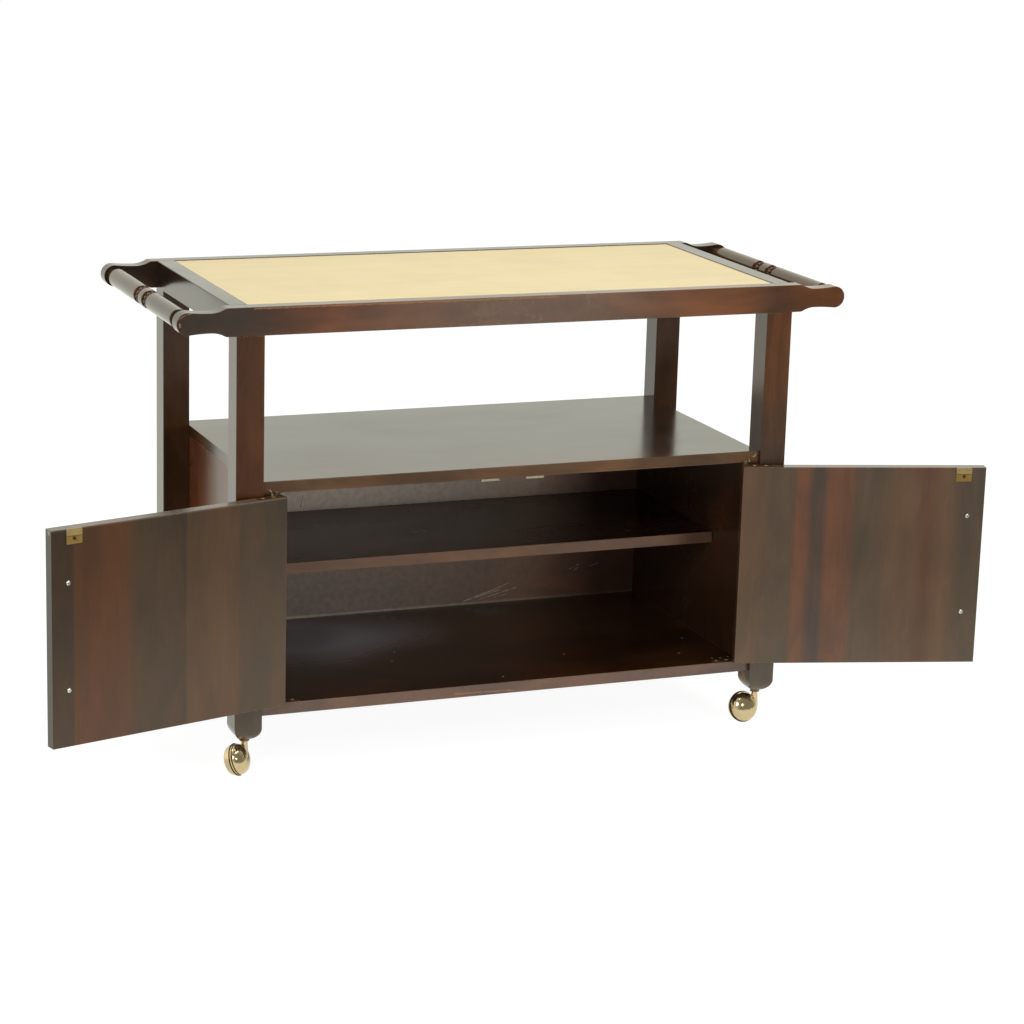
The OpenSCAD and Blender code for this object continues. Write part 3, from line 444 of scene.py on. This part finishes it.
# Painted light across the panel and up it, laid on as dust and as a lighter stain.
across_dust_and_painted_light = ("X", ((-0.44, 1.0, 1.0, 1.0, 0.72), (-0.10, 1.0, 1.0, 1.0, 0.57),
                     (0.10, 1.2, 1.2, 1.1, 0.40), (0.28, 2.0, 1.5, 1.1, 0.19),
                     (0.44, 2.4, 1.7, 1.1, 0.11)))
height_dust_and_painted_light = ("Z", ((0.119, 1.0, 1.0, 1.0, 0.75), (0.1225, 1.0, 1.0, 1.0, 0.75),
                     (0.1240, 1.0, 1.0, 1.0, 0.40), (0.300, 1.0, 1.0, 1.0, 0.45),
                     (0.330, 1.0, 1.0, 1.0, 1.15), (0.500, 1.0, 1.0, 1.0, 1.15)))
inner_zone = ("Y", ((back_face, 1.0, 1.0, 1.0, 1.0), (back_face + edge_skin, 1.0, 1.0, 1.0, 1.0),
                    (back_face + 2.0 * edge_skin, 0.8, 0.8, 0.8, 0.0),
                    (back_face + 0.01, 0.8, 0.8, 0.8, 0.0)))
back_scratches = tuple(((x, back_face, z), (x + run, back_face, z + rise), width)
                       for x, z, run, rise, width in (
    (0.090, 0.126, 0.050, 0.016, 0.0006), (0.135, 0.139, 0.045, 0.016, 0.0005),
    (0.102, 0.129, 0.060, 0.014, 0.0005), (0.120, 0.127, 0.075, 0.018, 0.0005),
    (0.150, 0.129, 0.034, 0.006, 0.0004), (0.303, 0.173, 0.020, 0.008, 0.0006),
    (0.310, 0.169, 0.012, 0.006, 0.0004), (0.344, 0.176, 0.021, 0.005, 0.0006)))
back_crack = ((-0.2300, back_face, 0.3527), (-0.2344, back_face, 0.3314), 0.0006)
dress(stained_wood("back_panel_wood", "X", inside_painted_shade_dark, inside_painted_shade_warm,
                   zones=(across_dust_and_painted_light, height_dust_and_painted_light, inner_zone), dust=olive_dust_and_painted_light,
                   scratches=back_scratches, cracks=(back_crack,), gloss=0.30), "back_panel")

# Doors.
# Flat panels of glued strips of several widths, each with its own shade, lacquered on both
# faces. The grain stands upright.
door_width = 0.4345
pivot_inset = 0.0075
door_top = corner("left_door", 0.0, 0.0, 1.0).z


def joint(name):
    return next(found for found in frame["joints"] if found["name"] == name)


def panel_strips(side, strips):
    """Turns a door's pattern square and gives stops across its strips.

    side is -1 for the left door and 1 for the right one. A strip is its place from the door's
    left end, its stain and how far its edge blends.
    """
    hinge = joint("left_door_hinge")
    turn = side * math.radians(180.0 + hinge["range_deg"][0])
    pin = Vector(hinge["pos_m"])
    pin = Matrix.Rotation(turn, 3, "Z") @ Vector((-side * pin.x, pin.y, 0.0))
    left_end = pin.x - (door_width - pivot_inset if side < 0 else pivot_inset)
    stops = [(left_end, *strips[0][1], 1.0)]
    for (_, before, _), (start, stain, blend) in zip(strips, strips[1:]):
        stops.append((left_end + start - blend / 2, *before, 1.0))
        stops.append((left_end + start + blend / 2, *stain, 1.0))
    stops.append((left_end + door_width, *strips[-1][1], 1.0))
    return turn, stops


smoky = (0.050, 0.027, 0.013)
russet = (0.092, 0.034, 0.011)
umber = (0.058, 0.034, 0.017)
tawny = (0.088, 0.046, 0.021)
olive = (0.068, 0.042, 0.022)
rusty = (0.106, 0.043, 0.019)
sooty = (0.062, 0.036, 0.022)
brick = (0.076, 0.034, 0.016)
turn, strips = panel_strips(-1, ((0.0, smoky, 0.0), (0.038, russet, 0.001), (0.139, umber, 0.03),
                                 (0.243, tawny, 0.001), (0.343, olive, 0.001)))
# The left door is painted darker towards its top, painted shade under the cabinet top; its top
# edge is lighter, with dust.
door_painted_light_zone = ("Z", ((0.10, 0.97, 0.87, 0.77, 0.0), (0.25, 0.97, 0.92, 0.86, 0.0),
                   (0.36, 0.91, 0.90, 0.88, 0.0), (0.43, 0.82, 0.86, 0.88, 0.0),
                   (door_top - 0.003, 0.76, 0.82, 0.86, 0.0),
                   (door_top - 0.001, 1.10, 1.20, 1.30, 0.30),
                   (door_top, 1.10, 1.20, 1.30, 0.30)))
corner_chip = (corner("left_door", 0.012, 0.06, 0.985), 0.005)
dress(stained_wood("left_door_wood", "Z", turn=turn, strips=strips, zones=(door_painted_light_zone,),
                   chips=(corner_chip,)), "left_door")
turn, strips = panel_strips(1, ((0.0, tawny, 0.0), (0.040, olive, 0.03), (0.095, rusty, 0.008),
                                (0.122, sooty, 0.012), (0.150, rusty, 0.010),
                                (0.200, olive, 0.015), (0.262, tawny, 0.03),
                                (0.318, brick, 0.02), (0.350, tawny, 0.03),
                                (0.385, olive, 0.03)))
# The right door is painted lighter and bluer towards its bottom, which is painted light.
door_painted_light_zone = ("Z", ((0.10, 1.18, 1.26, 1.42, 0.0), (0.20, 1.08, 1.20, 1.42, 0.0),
                   (0.50, 1.02, 1.16, 1.42, 0.0)))
dress(stained_wood("right_door_wood", "Z", turn=turn, strips=strips, zones=(door_painted_light_zone,)),
      "right_door")

# Hinges and side panel screws.
# Knife hinges of thin brass let into the boards and the door edges, each pair of leaves on
# one pin. The leaves have gone brown, and the heads of their screws are still bright.
groove_dirt = (0.075, 0.042, 0.018, 1.0)


def metal(name, colour, tarnish, gloss, spots, brushed=(700.0, 700.0, 700.0), heights=None,
          groove=None):
    """A plain metal.

    spots is the share of tarnish and brushed the stretch of fine scratches. heights are stops
    along Z whose colours multiply the metal's. groove is a dirty band round an axis, as a point
    on it, its direction and the band's two ends along it.
    """
    made, tree = new_material(name)
    place = shader_node(tree, "TexCoord").outputs["Object"]
    patch = noise(tree, place, (95.0, 95.0, 95.0), 4.0, 0.65)
    film = between(tree, patch, 0.46, 0.72, 0.0, spots)
    tone = tinted(tree, film, colour, tarnish)
    if heights:
        shade = colour_ramp(tree, along_axis(tree, place, "Z"), heights)[0]
        tone = tinted(tree, 1.0, tone, shade, "MULTIPLY")
    if groove:
        point, way, start, end = groove
        reach = vector_calc(tree, "DOT_PRODUCT", vector_calc(tree, "SUBTRACT", place, point), way)
        dirt = calc(tree, "MULTIPLY", between(tree, reach, start, start + 0.0003),
                    between(tree, reach, end, end - 0.0003))
        tone = tinted(tree, dirt, tone, groove_dirt)
    scratch = noise(tree, place, brushed, 3.0, 0.6)
    rough = between(tree, scratch, 0.3, 0.7, gloss, gloss + 0.08)
    rough = calc(tree, "MULTIPLY_ADD", film, 0.3, rough)
    bump = shader_node(tree, "Bump", Strength=0.04, Distance=0.0001, Height=scratch)
    surface = shader_node(tree, "BsdfPrincipled", Base_Color=tone, Roughness=rough, Metallic=1.0,
                          Normal=bump.outputs[0])
    finished(tree, surface)
    return made


dress(metal("browned_brass", (0.22, 0.14, 0.07, 1.0), (0.07, 0.045, 0.03, 1.0), 0.36, 0.9),
      "cabinet_hinge_leaves", "left_door_hinge_leaves", "right_door_hinge_leaves",
      "side_panel_screws")
dress(metal("screw_brass", (0.95, 0.78, 0.42, 1.0), (0.70, 0.52, 0.24, 1.0), 0.50, 0.3),
      "hinge_pins", "cabinet_hinge_screws", "left_door_hinge_screws",
      "right_door_hinge_screws")

# Strike plates.
# Small plates of sheet brass screwed to the doors' inner faces, which the catches hold. The
# upper half is paler than the lower, with a dark line between them.
plate_foot = corner("left_strike_plate", 0.0, 0.0, 0.0).z
plate_line = corner("left_strike_plate", 0.0, 0.0, 0.52).z
plate_rim = corner("left_strike_plate", 0.0, 0.0, 1.0).z
plate_tones = ((plate_foot, 1.10, 0.96, 0.62, 1.0), (plate_line - 0.001, 1.16, 1.00, 0.64, 1.0),
               (plate_line, 0.40, 0.30, 0.17, 1.0), (plate_line + 0.001, 1.46, 1.42, 1.36, 1.0),
               (plate_rim, 1.52, 1.46, 1.40, 1.0))
dress(metal("plate_brass", (0.50, 0.37, 0.175, 1.0), (0.30, 0.23, 0.13, 1.0), 0.28, 0.9,
            brushed=(60.0, 60.0, 1500.0), heights=plate_tones),
      "left_strike_plate", "right_strike_plate")
dress(metal("brown_screw", (0.14, 0.085, 0.045, 1.0), (0.05, 0.03, 0.02, 1.0), 0.40, 0.6),
      "left_strike_screw", "right_strike_screw")

# Catches and plain steel parts.
# Two magnetic catches of pale brass under the cabinet top, and the dark steel of their
# screws, the shelf pins and the casters' axles.
dress(metal("catch_brass", (0.84, 0.76, 0.60, 1.0), (0.50, 0.36, 0.18, 1.0), 0.30, 0.5),
      "door_catches")
dress(metal("dark_steel", (0.42, 0.39, 0.35, 1.0), (0.14, 0.11, 0.09, 1.0), 0.34, 0.7),
      "catch_screws", "shelf_pins", "front_left_axle", "front_right_axle", "back_left_axle",
      "back_right_axle")

# Pulls.
# A round brass bar on two posts for each door, screwed through the door from inside with
# nickel screws.
dress(metal("pull_brass", (0.74, 0.58, 0.32, 1.0), (0.42, 0.29, 0.13, 1.0), 0.15, 0.3),
      "left_pull", "right_pull")
dress(metal("nickel", (0.68, 0.66, 0.60, 1.0), (0.42, 0.38, 0.32, 1.0), 0.18, 0.4),
      "left_pull_screws", "right_pull_screws")

# Casters.
# Polished brass ball casters: a wheel with a domed side runs on a tilted axle under a domed
# hood, whose neck turns in a sleeve in the post. Dirt lies in the joint between the two.
# The sockets are a much darker brass, which is painted shade under the posts.
dress(metal("painted_shade_socket_brass", (0.17, 0.115, 0.062, 1.0), (0.07, 0.045, 0.025, 1.0), 0.30, 0.6),
      "caster_sockets")
for place in ("front_left", "front_right", "back_left", "back_right"):
    roll = joint(place + "_roll")
    hub, axle_way = Vector(roll["pos_m"]), Vector(roll["axis"])
    for piece, shade, start, end in (("hood", 0.56, 0.0019, 0.0043),
                                     ("wheel", 0.50, -0.0019, -0.0008)):
        brass = (shade, 0.785 * shade, 0.485 * shade, 1.0)
        dull_brass = (0.66 * shade, 0.46 * shade, 0.25 * shade, 1.0)
        dress(metal(f"{place}_{piece}_brass", brass, dull_brass, 0.09, 0.25,
                    groove=(hub, axle_way, start, end)), f"{place}_{piece}")

# Floor.
# A plain white floor under the cart that keeps a soft shadow. In mirror rays it is brighter
# behind the cart and falls off in front of it, which is painted light, and it has a painted
# shadow under the cart.
floor_size = 80.0
floor_seen = (0.92, 0.92, 0.92, 1.0)
floor_kept_shadow = (0.24, 0.24, 0.24, 1.0)
floor_lit = (0.82, 0.82, 0.81, 1.0)
painted_shadow_half_width = 0.42
painted_shadow_half_depth = 0.25
cart_middle_y = 0.06
bpy.ops.object.select_all(action="DESELECT")
bpy.ops.mesh.primitive_plane_add(size=floor_size, location=(0.0, 0.0, 0.0))
floor = bpy.context.object
floor.name = "floor"
mirror_tint = (0.985, 1.0, 0.87, 1.0)


def seen_floor(tree, shaded):
    """What the camera and the gloss of the cart see: white, with some of the shadow kept."""
    path = shader_node(tree, "LightPath")
    place = shader_node(tree, "TexCoord").outputs["Object"]
    across, depth = along_axis(tree, place, "X"), along_axis(tree, place, "Y")
    mirrored = calc(tree, "ADD", between(tree, depth, -1.5, -0.4, 0.06, 1.0),
                    between(tree, depth, 0.0, 1.5, 0.0, 0.15))
    # The painted shadow under the cart, seen in mirror rays only.
    sideways = calc(tree, "SUBTRACT", calc(tree, "ABSOLUTE", across), painted_shadow_half_width)
    lengthways = calc(tree, "ABSOLUTE", calc(tree, "SUBTRACT", depth, cart_middle_y))
    lengthways = calc(tree, "SUBTRACT", lengthways, painted_shadow_half_depth)
    outside_cart = calc(tree, "MAXIMUM", sideways, lengthways)
    mirrored = calc(tree, "MULTIPLY", mirrored,
                    between(tree, outside_cart, -0.15, 0.05, 0.25, 1.0))
    mirrored = tinted(tree, 1.0, mirrored, mirror_tint, "MULTIPLY")
    white = tinted(tree, path.outputs["Is Camera Ray"], mirrored, floor_seen)
    glow = shader_node(tree, "Emission", Color=white, Strength=1.0)
    joined = tree.nodes.new("ShaderNodeAddShader")
    kept = shader_node(tree, "BsdfDiffuse", Color=floor_kept_shadow)
    tree.links.new(glow.outputs[0], joined.inputs[0])
    tree.links.new(kept.outputs[0], joined.inputs[1])
    seen = calc(tree, "MAXIMUM", path.outputs["Is Camera Ray"], path.outputs["Is Glossy Ray"])
    seen = calc(tree, "MAXIMUM", seen, path.outputs["Is Transmission Ray"])
    mixed = shader_node(tree, "MixShader", Fac=seen)
    tree.links.new(shaded.outputs[0], mixed.inputs[1])
    tree.links.new(joined.outputs[0], mixed.inputs[2])
    return mixed


floor_white, floor_tree = new_material("white_floor")
shaded_floor = shader_node(floor_tree, "BsdfDiffuse", Color=floor_lit)
finished(floor_tree, seen_floor(floor_tree, shaded_floor))
floor.data.materials.append(floor_white)

# Light.
# Plain white light all round and three large soft lamps. In mirror rays the room is bright
# behind the cart and on its left, and darker in front but for a few small lamps.
world_light = 0.36
small_lamp_ways = ((-0.135, -0.333, 0.934), (-0.589, -0.575, 0.569), (0.014, -0.897, 0.440),
                   (-0.437, 0.332, 0.840))
world = bpy.data.worlds.new("studio")
bpy.context.scene.world = world
world.use_nodes = True
sky = world.node_tree
sky.nodes.clear()
ambient = shader_node(sky, "Background", Color=(1.0, 1.0, 1.0, 1.0), Strength=world_light)
toward = shader_node(sky, "TexCoord").outputs["Generated"]
back_wall = between(sky, along_axis(sky, toward, "Y"), -0.5, 0.6, 0.33, 1.15)
left_wall = between(sky, along_axis(sky, toward, "X"), -0.2, -0.9, 0.0, 0.60)
room_path = shader_node(sky, "LightPath")
room_light = tinted(sky, 1.0, calc(sky, "ADD", back_wall, left_wall), mirror_tint, "MULTIPLY")
for lamp_way in small_lamp_ways:
    facing_lamp = vector_calc(sky, "DOT_PRODUCT", toward, Vector(lamp_way).normalized())
    small_lamp = between(sky, facing_lamp, 0.9945, 0.9970, 0.0, 5.0)
    room_light = tinted(sky, 1.0, room_light, small_lamp, "ADD")
room_light = tinted(sky, room_path.outputs["Is Camera Ray"], room_light, (1.0, 1.0, 1.0, 1.0))
room = shader_node(sky, "Background", Color=room_light, Strength=1.0)
room_seen = calc(sky, "MAXIMUM", room_path.outputs["Is Camera Ray"],
                 room_path.outputs["Is Glossy Ray"])
room_seen = calc(sky, "MAXIMUM", room_seen, room_path.outputs["Is Transmission Ray"])
sky_mix = shader_node(sky, "MixShader", Fac=room_seen)
sky.links.new(ambient.outputs[0], sky_mix.inputs[1])
sky.links.new(room.outputs[0], sky_mix.inputs[2])
sky_end = sky.nodes.new("ShaderNodeOutputWorld")
sky.links.new(sky_mix.outputs[0], sky_end.inputs["Surface"])


def soft_lamp(name, place, target, size, watts, mirrored=True):
    lamp = bpy.data.lights.new(name, "AREA")
    lamp.shape = "SQUARE"
    lamp.size = size
    lamp.energy = watts
    holder = bpy.data.objects.new(name, lamp)
    bpy.context.scene.collection.objects.link(holder)
    holder.location = place
    holder.rotation_euler = (Vector(target) - Vector(place)).to_track_quat("-Z", "Y").to_euler()
    holder.visible_glossy = mirrored


cart_middle = (0.0, 0.0, 0.45)
soft_lamp("left_lamp", (-2.6, -3.4, 2.6), cart_middle, 1.2, 42.0)
soft_lamp("front_lamp", (1.35, -3.9, 0.55), (0.0, 0.0, 0.3), 1.0, 62.0, mirrored=False)
soft_lamp("top_lamp", (0.3, -0.6, 3.4), cart_middle, 2.0, 50.5)

# Camera.
# A plain camera at the photograph's viewpoint. It stands left of the front and looks down on
# the cart, a little tilted.
camera_place = Vector((-1.8176, -4.6359, 1.6340))
camera_azimuth = math.radians(22.075)
camera_fall = math.radians(14.142)
camera_roll = math.radians(1.674)
camera_lens = 102.552

ahead = Vector((math.sin(camera_azimuth) * math.cos(camera_fall),
                math.cos(camera_azimuth) * math.cos(camera_fall), -math.sin(camera_fall)))
level = ahead.cross(Vector((0.0, 0.0, 1.0))).normalized()
upward = level.cross(ahead)
right = level * math.cos(camera_roll) + upward * math.sin(camera_roll)
top = upward * math.cos(camera_roll) - level * math.sin(camera_roll)
lens = bpy.data.cameras.new("camera")
lens.lens = camera_lens
lens.sensor_width = 36.0
lens.sensor_fit = "HORIZONTAL"
lens.clip_end = 200.0
camera = bpy.data.objects.new("camera", lens)
bpy.context.scene.collection.objects.link(camera)
camera.matrix_world = (Matrix.Translation(camera_place)
                       @ Matrix((right, top, -ahead)).transposed().to_4x4())
bpy.context.scene.camera = camera
bpy.context.scene.view_settings.view_transform = "Standard"
